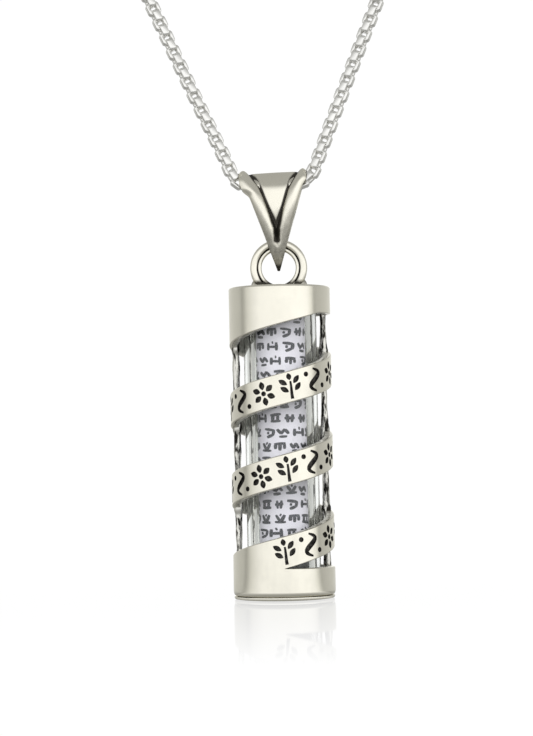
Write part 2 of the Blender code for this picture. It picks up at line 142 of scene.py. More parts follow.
def add_mesh(name, points, faces, material, sharp_angle=40.0):
    """Closed mesh object with its faces turned outwards and smooth shading."""
    mesh = bpy.data.meshes.new(name)
    mesh.from_pydata([tuple(point) for point in points], [], faces)
    tidy = bmesh.new()
    tidy.from_mesh(mesh)
    bmesh.ops.recalc_face_normals(tidy, faces=tidy.faces)
    tidy.to_mesh(mesh)
    tidy.free()
    mesh.materials.append(material)
    mesh.shade_smooth()
    mesh.set_sharp_from_angle(angle=math.radians(sharp_angle))
    return add_object(name, mesh)


def ring_faces(first, second, count):
    """Quads between two rings of vertices that start at the given numbers."""
    faces = []
    for index in range(count):
        after = (index + 1) % count
        faces.append((first + index, first + after, second + after, second + index))
    return faces


def loft(sections, closed):
    """Points and faces of a solid through closed sections; open lofts get flat caps."""
    count = len(sections[0])
    points = [point for section in sections for point in section]
    faces = []
    for index in range(len(sections) - 1):
        faces += ring_faces(index * count, (index + 1) * count, count)
    if closed:
        faces += ring_faces((len(sections) - 1) * count, 0, count)
    else:
        last = (len(sections) - 1) * count
        faces.append(tuple(range(count)))
        faces.append(tuple(range(last + count - 1, last - 1, -1)))
    return points, faces


def join_lofts(parts):
    """Put several (points, faces) solids together in one mesh."""
    points = []
    faces = []
    for part_points, part_faces in parts:
        start = len(points)
        points += part_points
        faces += [tuple(start + corner for corner in face) for face in part_faces]
    return points, faces


def arc(centre, radius, start, end, steps):
    """Points along an arc, in degrees."""
    points = []
    for step in range(steps + 1):
        angle = math.radians(start + (end - start) * step / steps)
        points.append((centre[0] + radius * math.cos(angle), centre[1] + radius * math.sin(angle)))
    return points


def around_case(azimuth, radius, height):
    """Point at an azimuth in degrees from the front (towards +X), a radius and a height."""
    angle = math.radians(azimuth)
    return place(radius * math.sin(angle), -radius * math.cos(angle), height)


def turned(profile, steps):
    """Solid of revolution about the case's line from a closed (radius, height) profile off the axis."""
    sections = []
    for step in range(steps):
        sections.append([around_case(360.0 * step / steps, radius, height) for radius, height in profile])
    return loft(sections, closed=True)


def globe_faces(rings, steps):
    """Faces of a solid whose vertices are its two poles and then its rings."""
    faces = []
    for index in range(rings - 1):
        faces += ring_faces(2 + index * steps, 2 + (index + 1) * steps, steps)
    last = 2 + (rings - 1) * steps
    for step in range(steps):
        after = (step + 1) % steps
        faces.append((0, 2 + after, 2 + step))
        faces.append((1, last + step, last + after))
    return faces


def turned_from_axis(profile, steps):
    """Solid of revolution whose open profile starts and ends on the axis."""
    points = [place(0.0, 0.0, profile[0][1]), place(0.0, 0.0, profile[-1][1])]
    rim = profile[1:-1]
    for radius, height in rim:
        points += [around_case(360.0 * step / steps, radius, height) for step in range(steps)]
    return points, globe_faces(len(rim), steps)


def blacken(item, values):
    """Store how black each point of a mesh is, oxide and on the bail also painted shade, for its material to
    read.
    """
    layer = item.data.attributes.new("blackness", "FLOAT", "POINT")
    layer.data.foreach_set("value", values)


def apply_modifiers(item):
    """Replace an object's mesh by its evaluated mesh and drop its modifiers."""
    depsgraph = bpy.context.evaluated_depsgraph_get()
    evaluated = bpy.data.meshes.new_from_object(item.evaluated_get(depsgraph))
    item.modifiers.clear()
    item.data = evaluated


def cut_away(item, tool):
    """Subtract a tool exactly and remove it; its own parts mustn't overlap each other."""
    modifier = item.modifiers.new("cut", "BOOLEAN")
    modifier.operation = "DIFFERENCE"
    modifier.solver = "EXACT"
    modifier.material_mode = "TRANSFER"
    modifier.object = tool
    apply_modifiers(item)
    bpy.data.objects.remove(tool)


def settle_shading(item, sharp_angle=35.0):
    """Smooth shading that lets large faces keep their own normals."""
    item.data.shade_smooth()
    item.data.set_sharp_from_angle(angle=math.radians(sharp_angle))
    weighted = item.modifiers.new("weighted_normals", "WEIGHTED_NORMAL")
    weighted.keep_sharp = True
    apply_modifiers(item)


def true_cylinder_normals(item, radius):
    """Give every corner on the outer cylinder its exact radial normal, so cuts leave no streaks."""
    mesh = item.data
    normals = [corner.vector.copy() for corner in mesh.corner_normals]
    for polygon in mesh.polygons:
        for corner in polygon.loop_indices:
            point = mesh.vertices[mesh.loops[corner].vertex_index].co
            radial = Vector((point.x, point.y, 0.0))
            on_surface = abs(radial.length - radius * MM) < 0.000004
            if on_surface and polygon.normal.dot(radial.normalized()) > 0.8:
                normals[corner] = radial.normalized()
    mesh.normals_split_custom_set(normals)


def finish_piece(item, body, slot, *nodes):
    """Attach a piece to what it rides on and hide the CAD nodes it stands for; the finish it is given is not
    used.
    """
    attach(item, body)
    if nodes:
        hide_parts(*nodes)
    return item


# ---------------- materials

class NodeTree:
    """Small helper that adds nodes to one tree and links them."""

    def __init__(self, tree, coordinates):
        self.tree = tree
        self.coordinates = self.node("ShaderNodeTexCoord").outputs[coordinates]

    def node(self, kind, **settings):
        item = self.tree.nodes.new(kind)
        for name, value in settings.items():
            setattr(item, name, value)
        return item

    def feed(self, socket, value):
        """Link a value to a socket, or set it when it is a number or a colour."""
        if isinstance(value, bpy.types.NodeSocket):
            self.tree.links.new(value, socket)
        elif isinstance(value, tuple):
            socket.default_value = (*value, 1.0)
        else:
            socket.default_value = value

    def noise(self, scale, detail=3.0, roughness=0.5, lengthwise=None):
        """Noise value; scale is in features per metre, lengthwise below 1 draws them out along Z."""
        item = self.node("ShaderNodeTexNoise")
        item.inputs["Scale"].default_value = scale
        item.inputs["Detail"].default_value = detail
        item.inputs["Roughness"].default_value = roughness
        where = self.coordinates
        if lengthwise is not None:
            mapping = self.node("ShaderNodeMapping")
            mapping.inputs["Scale"].default_value = (1.0, 1.0, lengthwise)
            self.feed(mapping.inputs["Vector"], where)
            where = mapping.outputs["Vector"]
        self.feed(item.inputs["Vector"], where)
        return item.outputs["Fac"]

    def spread(self, value, low, high, to_low=0.0, to_high=1.0):
        """Map a range of a value to another, clamped."""
        item = self.node("ShaderNodeMapRange")
        for name, number in (("From Min", low), ("From Max", high), ("To Min", to_low), ("To Max", to_high)):
            item.inputs[name].default_value = number
        self.feed(item.inputs["Value"], value)
        return item.outputs["Result"]

    def math(self, operation, first, second=0.0):
        item = self.node("ShaderNodeMath", operation=operation)
        self.feed(item.inputs[0], first)
        self.feed(item.inputs[1], second)
        return item.outputs["Value"]

    def split(self, vector):
        """X, Y and Z of a vector."""
        item = self.node("ShaderNodeSeparateXYZ")
        self.feed(item.inputs["Vector"], vector)
        return item.outputs["X"], item.outputs["Y"], item.outputs["Z"]

    def mix(self, factor, first, second):
        """Mix two colours, each a tuple or a socket."""
        item = self.node("ShaderNodeMix", data_type="RGBA")
        self.feed(item.inputs["Factor"], factor)
        self.feed(item.inputs["A"], first)
        self.feed(item.inputs["B"], second)
        return item.outputs["Result"]

    def glow(self, kind, colour, strength):
        """Emission or background of a colour."""
        item = self.node(kind)
        self.feed(item.inputs["Color"], colour)
        item.inputs["Strength"].default_value = strength
        return item.outputs[0]

    def choose(self, factor, first, second):
        """Mix two shaders."""
        item = self.node("ShaderNodeMixShader")
        for socket, value in zip(item.inputs, (factor, first, second)):
            self.feed(socket, value)
        return item.outputs["Shader"]


class Shading(NodeTree):
    """A material in the making."""

    def __init__(self, name):
        self.material = bpy.data.materials.new(name)
        self.material.use_nodes = True
        super().__init__(self.material.node_tree, "Object")
        self.shader = self.tree.nodes["Principled BSDF"]
        self.output = self.tree.nodes["Material Output"]

    def give(self, name, value):
        """Set or link one input of the main shader."""
        self.feed(self.shader.inputs[name], value)

    def has(self, name):
        """What is linked to an input of the main shader."""
        return self.shader.inputs[name].links[0].from_socket

    def bump(self, height, strength, distance, onto=None):
        """Give the main shader a bump, on top of another one where there is one."""
        item = self.node("ShaderNodeBump")
        item.inputs["Strength"].default_value = strength
        item.inputs["Distance"].default_value = distance
        self.feed(item.inputs["Height"], height)
        if onto is not None:
            self.feed(item.inputs["Normal"], onto)
        self.give("Normal", item.outputs["Normal"])
        return item.outputs["Normal"]


SILVER = (0.925, 0.897, 0.790)
BRIGHT_SILVER = (0.965, 0.96, 0.935)
TARNISH = (0.050, 0.045, 0.038)


def silver_material(name, colour, roughness, cavity_reach, cavity_amount):
    """Polished silver: fine scratches, cloudy polish, black oxide that stays in the recesses, and stored
    blackness that on the bail is partly painted shade.
    """
    look = Shading(name)
    cloud = look.noise(420.0, 4.0, 0.6)
    scratch = look.noise(2600.0, 2.0, 0.6, lengthwise=0.35)
    grain = look.noise(9000.0, 2.0, 0.5)
    cavity = look.node("ShaderNodeAmbientOcclusion", samples=8)
    cavity.inputs["Distance"].default_value = cavity_reach * MM
    openness = look.math("ADD", cavity.outputs["AO"], look.spread(grain, 0.3, 0.7, -0.10, 0.10))
    # The stored blackness is oxide, and on the bail also painted shade at its tip and lower rims.
    stored = look.node("ShaderNodeAttribute", attribute_name="blackness").outputs["Fac"]
    wear = look.spread(look.noise(1500.0, 3.0, 0.6, lengthwise=0.4), 0.36, 0.64, 0.72, 1.28)
    patchy = look.math("ADD", look.math("MULTIPLY", stored, wear), look.spread(grain, 0.3, 0.7, -0.05, 0.05))
    # This darkening joins the cavity oxide with the stored blackness, so on the bail it also carries painted
    # shade.
    oxide = look.math("MAXIMUM", look.spread(openness, 0.30, 0.62, cavity_amount, 0.0),
                      look.spread(patchy, 0.15, 0.70, 0.0, 0.97))
    tone = look.mix(look.spread(cloud, 0.35, 0.7), colour, tuple(value * 0.965 for value in colour))
    look.give("Base Color", look.mix(oxide, tone, TARNISH))
    polish = look.spread(cloud, 0.3, 0.75, roughness * 0.8, roughness * 1.25)
    worn = look.math("ADD", polish, look.spread(scratch, 0.45, 0.8, 0.0, 0.06))
    look.give("Roughness", look.math("ADD", worn, look.math("MULTIPLY", oxide, 0.35)))
    look.give("Metallic", 1.0)
    waves = look.bump(look.noise(200.0, 2.0, 0.4), 0.25, 0.00004)
    look.bump(scratch, 0.08, 0.000004, waves)
    return look


def case_material():
    """Silver of the casting: its inner side is left rough and dark, its outside is polished."""
    look = silver_material("case_silver", SILVER, 0.17, 0.5, 0.0)
    x, y, z = look.split(look.coordinates)
    squared = look.math("ADD", look.math("MULTIPLY", x, x), look.math("MULTIPLY", y, y))
    wobble = look.spread(look.noise(2200.0, 3.0, 0.6), 0.3, 0.7, -0.00012, 0.00012)
    radius = look.math("ADD", look.math("SQRT", squared), wobble)
    within = look.spread(radius, (CASE_RADIUS - 0.16) * MM, (CASE_RADIUS - 0.62) * MM)
    below = look.spread(z, (GROUND + CASE_TOP - 0.3) * MM, (GROUND + CASE_TOP - 0.6) * MM)
    inside = look.math("MULTIPLY", within, below)
    rough_patch = look.spread(look.noise(1500.0, 4.0, 0.7), 0.38, 0.62)
    dark = look.mix(rough_patch, (0.30, 0.29, 0.26), (0.80, 0.79, 0.73))
    look.give("Base Color", look.mix(inside, look.has("Base Color"), dark))
    look.give("Roughness", look.math("ADD", look.has("Roughness"), look.math("MULTIPLY", inside, 0.30)))
    look.give("Metallic", look.spread(inside, 0.0, 1.0, 1.0, 0.45))
    return look.material


def oxide_material():
    """Black oxide on the floor and walls of the engraving, worn a little lighter in places."""
    look = Shading("black_oxide")
    patch = look.spread(look.noise(3800.0, 4.0, 0.7), 0.45, 0.75)
    look.give("Base Color", look.mix(patch, (0.012, 0.011, 0.010), (0.11, 0.105, 0.095)))
    look.give("Roughness", look.spread(patch, 0.0, 1.0, 0.55, 0.38))
    look.give("Metallic", 0.6)
    look.bump(look.noise(6500.0, 3.0, 0.6), 0.5, 0.00003)
    return look.material


def strut_material():
    """Cast posts: light silver with black lines in their hollows."""
    look = Shading("cast_silver")
    streak = look.noise(2400.0, 3.0, 0.6, lengthwise=0.22)
    oxide = look.spread(streak, 0.49, 0.56)
    look.give("Base Color", look.mix(oxide, (0.78, 0.77, 0.72), (0.03, 0.028, 0.024)))
    look.give("Roughness", look.spread(oxide, 0.0, 1.0, 0.25, 0.5))
    look.give("Metallic", 1.0)
    look.bump(streak, 0.6, 0.00008)
    return look.material


def glass_material():
    """Clear glass with a faint grey-green body and a few wipe marks; it lets soft light through."""
    look = Shading("tube_glass")
    look.give("Base Color", (0.965, 0.985, 0.970))
    look.give("Transmission Weight", 1.0)
    look.give("IOR", 1.5)
    smear = look.noise(500.0, 4.0, 0.6, lengthwise=0.3)
    look.give("Roughness", look.spread(smear, 0.4, 0.8, 0.0, 0.03))
    path = look.node("ShaderNodeLightPath").outputs
    soft_light = look.math("MAXIMUM", path["Is Shadow Ray"], path["Is Diffuse Ray"])
    clear = look.node("ShaderNodeBsdfTransparent")
    clear.inputs["Color"].default_value = (0.95, 0.97, 0.96, 1.0)
    blend = look.choose(soft_light, look.shader.outputs["BSDF"], clear.outputs["BSDF"])
    look.feed(look.output.inputs["Surface"], blend)
    return look.material


def paper_material():
    """Bluish white parchment with fibres and faint staining; painted shade darkens its lower end."""
    look = Shading("parchment")
    fibre = look.noise(3500.0, 4.0, 0.7, lengthwise=0.35)
    stain = look.spread(look.noise(300.0, 3.0, 0.6), 0.35, 0.7)
    base = look.mix(stain, (0.69, 0.645, 0.725), (0.65, 0.605, 0.685))
    sheet = look.mix(look.spread(fibre, 0.55, 0.8), base, (0.59, 0.55, 0.62))
    height = look.split(look.coordinates)[2]
    # Painted shade: the paper is darkened nearly to black towards its lower end.
    lower_end_shade = look.spread(height, (GROUND + 5.0) * MM, (GROUND + 4.4) * MM)
    look.give("Base Color", look.mix(lower_end_shade, sheet, (0.05, 0.05, 0.045)))
    look.give("Roughness", 0.75)
    look.bump(fibre, 0.25, 0.00002)
    return look.material


def two_tone(name, noise, low, high, colours, roughnesses):
    """Material that varies between two colours and two roughnesses with a noise (its settings)."""
    look = Shading(name)
    share = look.spread(look.noise(*noise), low, high)
    look.give("Base Color", look.mix(share, *colours))
    look.give("Roughness", look.spread(share, 0.0, 1.0, *roughnesses))
    return look


def ink_material():
    """Carbon ink, a little denser and duller in some places than in others."""
    return two_tone("ink", (5200.0, 3.0, 0.7), 0.4, 0.75, ((0.012, 0.012, 0.018), (0.06, 0.06, 0.08)),
                    (0.4, 0.7)).material


def seal_material():
    """Milky silicone with a soft mottled surface."""
    look = two_tone("silicone", (900.0, 3.0, 0.6), 0.3, 0.7, ((0.80, 0.80, 0.77), (0.72, 0.72, 0.70)),
                    (0.45, 0.6))
    look.give("Subsurface Weight", 0.2)
    look.give("Subsurface Scale", 0.0005)
    return look.material


def steel_material():
    """Drawn spring steel with lengthwise lines."""
    look = two_tone("spring_steel", (5000.0, 2.0, 0.6, 0.1), 0.3, 0.7,
                    ((0.50, 0.50, 0.51), (0.62, 0.62, 0.63)), (0.28, 0.42))
    look.give("Metallic", 1.0)
    return look.material


# ---------------- camera

CAMERA_DISTANCE = 222.0
CAMERA_SIDE = 3.57
CAMERA_HEIGHT = 14.6
CAMERA_YAW = -1.279
CAMERA_PITCH = 2.062
CAMERA_ROLL = -1.077
CAMERA_LENS = 110.46


def make_camera():
    """Long lens in front of the pendant, a little above the middle of the case."""
    yaw, pitch, roll = (math.radians(angle) for angle in (CAMERA_YAW, CAMERA_PITCH, CAMERA_ROLL))
    forward = Vector((math.sin(yaw) * math.cos(pitch), math.cos(yaw) * math.cos(pitch), math.sin(pitch)))
    level = Vector((math.cos(yaw), -math.sin(yaw), 0.0))
    upright = level.cross(forward)
    right = level * math.cos(roll) + upright * math.sin(roll)
    up = upright * math.cos(roll) - level * math.sin(roll)
    data = bpy.data.cameras.new("camera")
    data.lens = CAMERA_LENS
    data.sensor_width = 36.0
    data.clip_start = 0.01
    camera = add_object("camera", data)
    turn = Matrix((right, up, -forward)).transposed().to_4x4()
    camera.matrix_world = Matrix.Translation(place(CAMERA_SIDE, -CAMERA_DISTANCE, CAMERA_HEIGHT)) @ turn
    bpy.context.scene.camera = camera


# ---------------- chain

def smooth_route(points):
    """Dense points on a Catmull-Rom curve through the route's own points."""
    padded = [points[0] * 2 - points[1], *points, points[-1] * 2 - points[-2]]
    dense = []
    for index in range(len(points) - 1):
        before, start, end, after = padded[index:index + 4]
        for step in range(24):
            t = step / 24.0
            dense.append(0.5 * (2 * start + (end - before) * t
                                + (2 * before - 5 * start + 4 * end - after) * t ** 2
                                + (3 * start - before - 3 * end + after) * t ** 3))
    dense.append(points[-1])
    return dense


class Route:
    """A line measured by its length."""

    def __init__(self, points):
        self.points = points
        self.lengths = [0.0]
        for start, end in zip(points, points[1:]):
            self.lengths.append(self.lengths[-1] + (end - start).length)

    def at(self, distance):
        """Point and direction at a distance along the line."""
        index = 0
        while index < len(self.points) - 2 and self.lengths[index + 1] < distance:
            index += 1
        start, end = self.points[index], self.points[index + 1]
        share = (distance - self.lengths[index]) / (self.lengths[index + 1] - self.lengths[index])
        return start.lerp(end, share), (end - start).normalized()


def link_section(corner, outward, across, thickness):
    """Rounded strip section of a box link at one point of its outline."""
    chamfer = 0.06
    inner, outer = -thickness, 0.0
    half_strip = LINK_STRIP / 2.0
    shape = ((outer, -half_strip + chamfer), (outer, half_strip - chamfer), (outer - chamfer, half_strip),
             (inner + chamfer, half_strip), (inner, half_strip - chamfer), (inner, -half_strip + chamfer),
             (inner + chamfer, -half_strip), (outer - chamfer, -half_strip))
    return [corner + (outward * depth + across * side) * MM for depth, side in shape]


def box_link(centre, along, side, across):
    """One square link: a strip bent into a rounded rectangle in the along-side plane."""
    half_length, half_width, corner_radius = LINK_LENGTH / 2.0, LINK_WIDTH / 2.0, 0.32
    outline = []
    corners = ((1, 1, 0.0), (-1, 1, 90.0), (-1, -1, 180.0), (1, -1, 270.0))
    for sign_u, sign_v, start in corners:
        middle = (sign_u * (half_length - corner_radius), sign_v * (half_width - corner_radius))
        for step in range(7):
            angle = math.radians(start + 90.0 * step / 6)
            outline.append((middle[0] + corner_radius * math.cos(angle),
                            middle[1] + corner_radius * math.sin(angle), angle))
    sections = []
    for u, v, angle in outline:
        outward = along * math.cos(angle) + side * math.sin(angle)
        thickness = LINK_END_THICKNESS + (LINK_SIDE_THICKNESS - LINK_END_THICKNESS) * abs(math.sin(angle))
        sections.append(link_section(centre + (along * u + side * v) * MM, outward, across, thickness))
    return loft(sections, closed=True)


def make_chain(material):
    """Row of box links along the route, each turned a quarter to its neighbours."""
    route = Route(smooth_route([place(x, 0.0, z) for x, z in CHAIN_ROUTE]))
    total = route.lengths[-1]
    count = int(total / (LINK_PITCH * MM))
    margin = (total - (count - 1) * LINK_PITCH * MM) / 2.0
    front = Vector((0.0, -1.0, 0.0))
    links = []
    for index in range(count):
        distance = margin + index * LINK_PITCH * MM
        centre, along = route.at(distance)
        level = along.cross(front).normalized()
        turn = Matrix.Rotation(math.radians(CHAIN_TWIST + 90.0 * (index % 2)), 3, along)
        links.append(box_link(centre, along, turn @ level, turn @ front))
    chain = add_mesh("box_chain_links", *join_lofts(links), material, 50.0)
    finish_piece(chain, "chain", "chain_silver", "box_chain")
    path = [route.at(total * step / 60.0)[0] for step in range(61)]
    return chain, path, total


# ---------------- case

def ribbon_middle(azimuth):
    """Height of the ribbon's middle at an azimuth in degrees, right-handed from the front."""
    return RIBBON_FRONT_HEIGHT + HELIX_PITCH * azimuth / 360.0


def edge_relief():
    """(radius, extra opening) along the slot's wall, from inside to outside, with rounded edges."""
    inner = CASE_RADIUS - CASE_WALL
    points = [(inner - 0.10, INNER_EDGE_ROUND + 0.25), (inner, INNER_EDGE_ROUND)]
    points.append((inner + 0.3 * INNER_EDGE_ROUND, 0.3 * INNER_EDGE_ROUND))
    points.append((inner + INNER_EDGE_ROUND, 0.0))
    for angle in (0.0, 30.0, 60.0, 90.0):
        depth = EDGE_ROUND * (1.0 - math.sin(math.radians(angle)))
        relief = EDGE_ROUND * (1.0 - math.cos(math.radians(angle)))
        points.append((CASE_RADIUS - depth, relief))
    points.append((CASE_RADIUS + 0.1, EDGE_ROUND + 0.37))
    return points


def slot_tool(material):
    """The helical slot between the two bands, with flared sides that round the ribbon's edges."""
    half_slot = (HELIX_PITCH - RIBBON_HEIGHT) / 2.0
    middle_at_front = RIBBON_FRONT_HEIGHT - HELIX_PITCH / 2.0
    rise = HELIX_PITCH / 360.0
    first = (BOTTOM_BAND_TOP + SLOT_TIP_HEIGHT - half_slot - middle_at_front) / rise
    last = (TOP_BAND_BOTTOM - SLOT_TIP_HEIGHT + half_slot - middle_at_front) / rise
    azimuths = {first, last}
    azimuths.add((BOTTOM_BAND_TOP + half_slot - middle_at_front) / rise)
    azimuths.add((TOP_BAND_BOTTOM - half_slot - middle_at_front) / rise)
    step = 360.0 / CASE_STEPS
    azimuths.update(first + step / 3.0 + step * index for index in range(int((last - first) / step)))
    relief = edge_relief()
    sections = []
    for azimuth in sorted(azimuths):
        middle = middle_at_front + rise * azimuth
        low = max(middle - half_slot, BOTTOM_BAND_TOP)
        high = min(middle + half_slot, TOP_BAND_BOTTOM)
        flare = min((high - low) / 0.8, 1.0)
        section = [around_case(azimuth, radius, low - extra * flare) for radius, extra in relief]
        section += [around_case(azimuth, radius, high + extra * flare) for radius, extra in reversed(relief)]
        sections.append(section)
    return add_mesh("slot_tool", *loft(sections, closed=False), material)


def lens_shape(centre, angle, length, width):
    """Pointed leaf outline."""
    turn = math.radians(angle)
    outline = []
    for side in (1.0, -1.0):
        for step in range(9):
            t = step / 9.0 if side > 0 else 1.0 - step / 9.0
            along = (t - 0.5) * length
            across = side * width / 2.0 * math.sin(math.pi * t) ** 0.8
            outline.append((centre[0] + along * math.cos(turn) - across * math.sin(turn),
                            centre[1] + along * math.sin(turn) + across * math.cos(turn)))
    return outline


def brush_shape(points, widths):
    """Outline of a stroke of changing width along a line."""
    left = []
    right = []
    for index, (x, y) in enumerate(points):
        before = points[max(index - 1, 0)]
        after = points[min(index + 1, len(points) - 1)]
        direction = Vector((after[0] - before[0], after[1] - before[1])).normalized()
        half = widths[index] / 2.0
        left.append((x - direction.y * half, y + direction.x * half))
        right.append((x + direction.y * half, y - direction.x * half))
    return left + right[::-1]


def sprig():
    """Upright sprig: a bent stem, two pairs of leaves and a bud, none of them touching."""
    line = [(0.10 * math.sin(2.4 * t - 1.2), -1.05 + 1.50 * t) for t in (step / 8.0 for step in range(9))]
    shapes = [brush_shape(line, [0.30 - 0.015 * step for step in range(9)])]
    shapes.append(lens_shape((0.06, 0.84), 90.0, 0.62, 0.44))
    for height in (-0.36, 0.26):
        shapes.append(lens_shape((0.62, height + 0.22), 42.0, 0.84, 0.44))
        shapes.append(lens_shape((-0.56, height + 0.22), 138.0, 0.84, 0.44))
    return shapes


def rosette():
    """Six petals round a dot."""
    shapes = [arc((0.0, 0.0), 0.22, 0.0, 330.0, 11)]
    for index in range(6):
        angle = 60.0 * index + 30.0
        centre = (0.68 * math.cos(math.radians(angle)), 0.68 * math.sin(math.radians(angle)))
        shapes.append(lens_shape(centre, angle, 0.74, 0.50))
    return shapes


def tendril():
    """S-shaped tendril between two dots."""
    steps = 16
    line = []
    widths = []
    for step in range(steps + 1):
        t = step / steps
        line.append((0.55 * math.sin(2.0 * math.pi * (t - 0.5)), -0.98 + 1.96 * t))
        widths.append(0.16 + 0.32 * math.sin(math.pi * t))
    return [brush_shape(line, widths), arc((0.78, -0.66), 0.22, 0.0, 330.0, 11),
            arc((-0.78, 0.66), 0.22, 0.0, 330.0, 11)]


def ornament_tools(material):
    """All engraved motifs as one mesh of prisms wrapped round the ribbon."""
    slope = math.atan(HELIX_PITCH / (2.0 * math.pi * CASE_RADIUS))
    motifs = (sprig, tendril, rosette)
    prisms = []
    for index in range(ORNAMENT_COUNT):
        azimuth = ORNAMENT_FIRST + ORNAMENT_STEP * index
        middle = ribbon_middle(azimuth - 360.0)
        for outline in motifs[index % len(motifs)]():
            sections = []
            for radius in (CASE_RADIUS - ENGRAVING_DEPTH, CASE_RADIUS + 0.2):
                section = []
                for a, b in outline:
                    around = ORNAMENT_SCALE * (a * math.cos(slope) - b * math.sin(slope))
                    rise = ORNAMENT_SCALE * (a * math.sin(slope) + b * math.cos(slope))
                    bearing = azimuth + math.degrees(around / CASE_RADIUS)
                    section.append(around_case(bearing, radius, middle + rise))
                sections.append(section)
            prisms.append(loft(sections, closed=False))
    return add_mesh("ornament_tools", *join_lofts(prisms), material)


def make_case(silver, oxide):
    """The casting: shell with rounded rims, helical slot, and the engraved ribbon."""
    inner = CASE_RADIUS - CASE_WALL
    rim = 0.24
    profile = [(0.0, CASE_TOP + 0.05)]
    profile += [(CASE_RADIUS * share, CASE_TOP + 0.05 * (1.0 - share ** 3)) for share in (0.3, 0.6, 0.8)]
    profile += arc((CASE_RADIUS - rim, CASE_TOP - rim), rim, 90.0, 0.0, 5)
    profile += [(CASE_RADIUS, height) for height in (24.0, 18.0, 12.0, 6.0, 3.0, 2.0)]
    profile += [(CASE_RADIUS, CASE_LOW + 0.45), (CASE_RADIUS - 0.03, CASE_LOW + 0.25),
                (CASE_RADIUS - 0.09, CASE_LOW + 0.10), (CASE_RADIUS - 0.18, CASE_LOW + 0.02)]
    profile += [(CASE_RADIUS - 0.3, CASE_LOW), (inner, CASE_LOW), (inner, CASE_TOP - TOP_PLATE)]
    profile.append((0.0, CASE_TOP - TOP_PLATE))
    case = add_mesh("case_casting", *turned_from_axis(profile, CASE_STEPS), silver)
    cut_away(case, slot_tool(silver))
    cut_away(case, ornament_tools(oxide))
    settle_shading(case)
    true_cylinder_normals(case, CASE_RADIUS)
    return finish_piece(case, "case", "silver", "spiral_case")


def make_struts(material):
    """Lumpy cast posts just inside the ribbon, thicker where they meet each turn."""
    dice = random.Random(SEED)
    posts = []
    for azimuth in STRUT_AZIMUTHS:
        sections = []
        low, high, count = BOTTOM_BAND_TOP - 0.3, TOP_BAND_BOTTOM + 0.3, 150
        for index in range(count + 1):
            height = low + (high - low) * index / count
            turns = (height - ribbon_middle(azimuth)) / HELIX_PITCH
            off_ribbon = abs(turns - round(turns)) * HELIX_PITCH - RIBBON_HEIGHT / 2.0
            swell = 0.16 * math.exp(-(max(off_ribbon, 0.0) / 0.35) ** 2)
            radius = STRUT_RADIUS * (1.0 + 0.06 * math.sin(height * 2.3)) + swell
            radius = min(radius + dice.uniform(-0.012, 0.012), STRUT_RADIUS + 0.12)
            section = []
            for step in range(14):
                angle = 2.0 * math.pi * step / 14
                bulge = 1.0 + 0.13 * math.sin(2.0 * angle + height * 0.9)
                out = STRUT_CENTRE_RADIUS + 0.9 * radius * bulge * math.cos(angle)
                side = math.degrees(radius * bulge * math.sin(angle) / STRUT_CENTRE_RADIUS)
                section.append(around_case(azimuth + side, out, height))
            sections.append(section)
        posts.append(loft(sections, closed=False))
    struts = add_mesh("case_struts", *join_lofts(posts), material, 70.0)
    return finish_piece(struts, "case", "silver")


def make_plug(material):
    """Bottom disc with a softened rim and its spigot."""
    flange = CASE_LOW - 0.05
    spigot = CASE_RADIUS - CASE_WALL - 0.05
    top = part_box("bottom_plug")[1][2] / MM - GROUND
    profile = [(0.0, 0.0), (3.0, 0.0), (CASE_RADIUS - 0.32, 0.0), (CASE_RADIUS - 0.18, 0.03),
               (CASE_RADIUS - 0.11, 0.08), (CASE_RADIUS - 0.08, 0.16), (CASE_RADIUS - 0.09, flange),
               (spigot, flange), (spigot, top), (0.0, top)]
    plug = add_mesh("closing_disc", *turned_from_axis(profile, CASE_STEPS), material, 30.0)
    settle_shading(plug, 30.0)
    return finish_piece(plug, "case", "silver", "bottom_plug")


# ---------------- contents

def make_glass(material):
    """Open tube with fire-polished ends."""
    middle = (GLASS_RADIUS + GLASS_BORE) / 2.0
    half = (GLASS_RADIUS - GLASS_BORE) / 2.0
    profile = arc((middle, GLASS_HIGH - half), half, 0.0, 180.0, 12)
    profile += arc((middle, GLASS_LOW + half), half, 180.0, 360.0, 12)
    tube = add_mesh("scroll_tube", *turned(profile, 180), material, 60.0)
    return finish_piece(tube, "case", "glass", "glass_tube")


def make_scroll(material):
    """Strip of parchment rolled into a spiral; its free edge is at the back."""
    steps = int(SHEET_TURNS * 72)
    sections = []
    for index in range(steps + 1):
        turns = SHEET_TURNS * index / steps
        azimuth = SHEET_EDGE_AZIMUTH - 360.0 * turns
        outer = SCROLL_RADIUS - SHEET_PITCH * turns
        section = [around_case(azimuth, outer, SCROLL_LOW), around_case(azimuth, outer, SCROLL_HIGH)]
        section += [around_case(azimuth, outer - SHEET_THICKNESS, SCROLL_HIGH),
                    around_case(azimuth, outer - SHEET_THICKNESS, SCROLL_LOW)]
        sections.append(section)
    scroll = add_mesh("rolled_scroll", *loft(sections, closed=False), material, 30.0)
    return finish_piece(scroll, "case", "paper", "scroll")


def scroll_radius_at(azimuth):
    """Outside radius of the outer turn, at an azimuth up to one turn before the free edge."""
    return SCROLL_RADIUS - SHEET_PITCH * (SHEET_EDGE_AZIMUTH - azimuth) / 360.0


